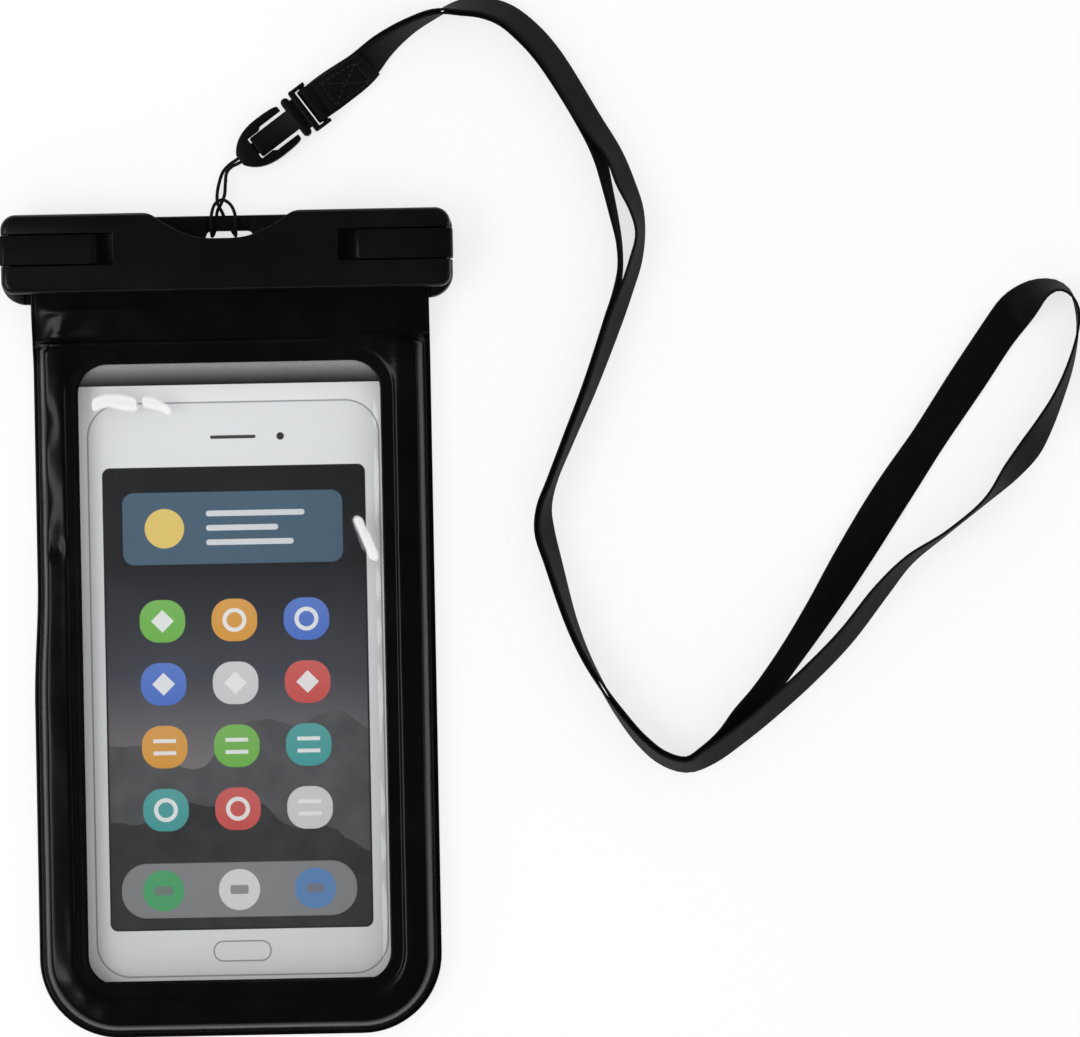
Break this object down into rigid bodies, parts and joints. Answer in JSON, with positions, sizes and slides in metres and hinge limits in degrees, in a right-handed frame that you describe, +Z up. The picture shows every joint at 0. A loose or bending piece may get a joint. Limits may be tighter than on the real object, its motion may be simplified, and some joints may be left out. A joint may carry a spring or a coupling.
{
  "type": "waterproof phone pouch",
  "caption": "Flat waterproof phone pouch: welded black films with a clear window, a clamp with a swing latch at each end, and a neck strap on a quick-release clip.",
  "frame": {"origin": "centre of the underside of the pouch, measured without the string, clip and strap", "axes": "+X along the clamp to the right latch, +Y from the closed end of the pouch to the clamp, +Z up through the window"},
  "size_m": [0.2839, 0.2729, 0.0142],
  "materials": {
    "black_film": "glossy soft film",
    "clear_film": "clear glossy soft film",
    "printed_card": "coated card with a printed picture",
    "black_plastic": "satin moulded plastic",
    "pin_steel": "drawn steel wire",
    "cord_black": "braided cord",
    "strap_black": "woven satin ribbon"
  },
  "bodies": {
    "pouch": {"back_film": "black_film", "front_frame": "black_film", "window_film": "clear_film", "display_card": "printed_card", "rear_clamp_bar": "black_plastic", "front_clamp_bar": "black_plastic", "latch_pin_left": "pin_steel", "latch_pin_right": "pin_steel", "clip_string": "cord_black", "clip_arm_half": "black_plastic"},
    "latch_left": {"latch_left": "black_plastic"},
    "latch_right": {"latch_right": "black_plastic"},
    "lanyard": {"clip_sleeve_half": "black_plastic", "lanyard_strap": "strap_black"}
  },
  "joints": [
    {"name": "latch_left_swing", "type": "hinge", "parent": "pouch", "child": "latch_left", "pos_m": [-0.0576, 0.09915, 0.004], "axis": [0, -1, 0], "range_deg": [0, 95]},
    {"name": "latch_right_swing", "type": "hinge", "parent": "pouch", "child": "latch_right", "pos_m": [0.0576, 0.09915, 0.004], "axis": [0, 1, 0], "range_deg": [0, 95]},
    {"name": "clip_release", "type": "slide", "parent": "pouch", "child": "lanyard", "axis": [0.8059, 0.592, 0], "range_m": [0, 0.012]}
  ]
}
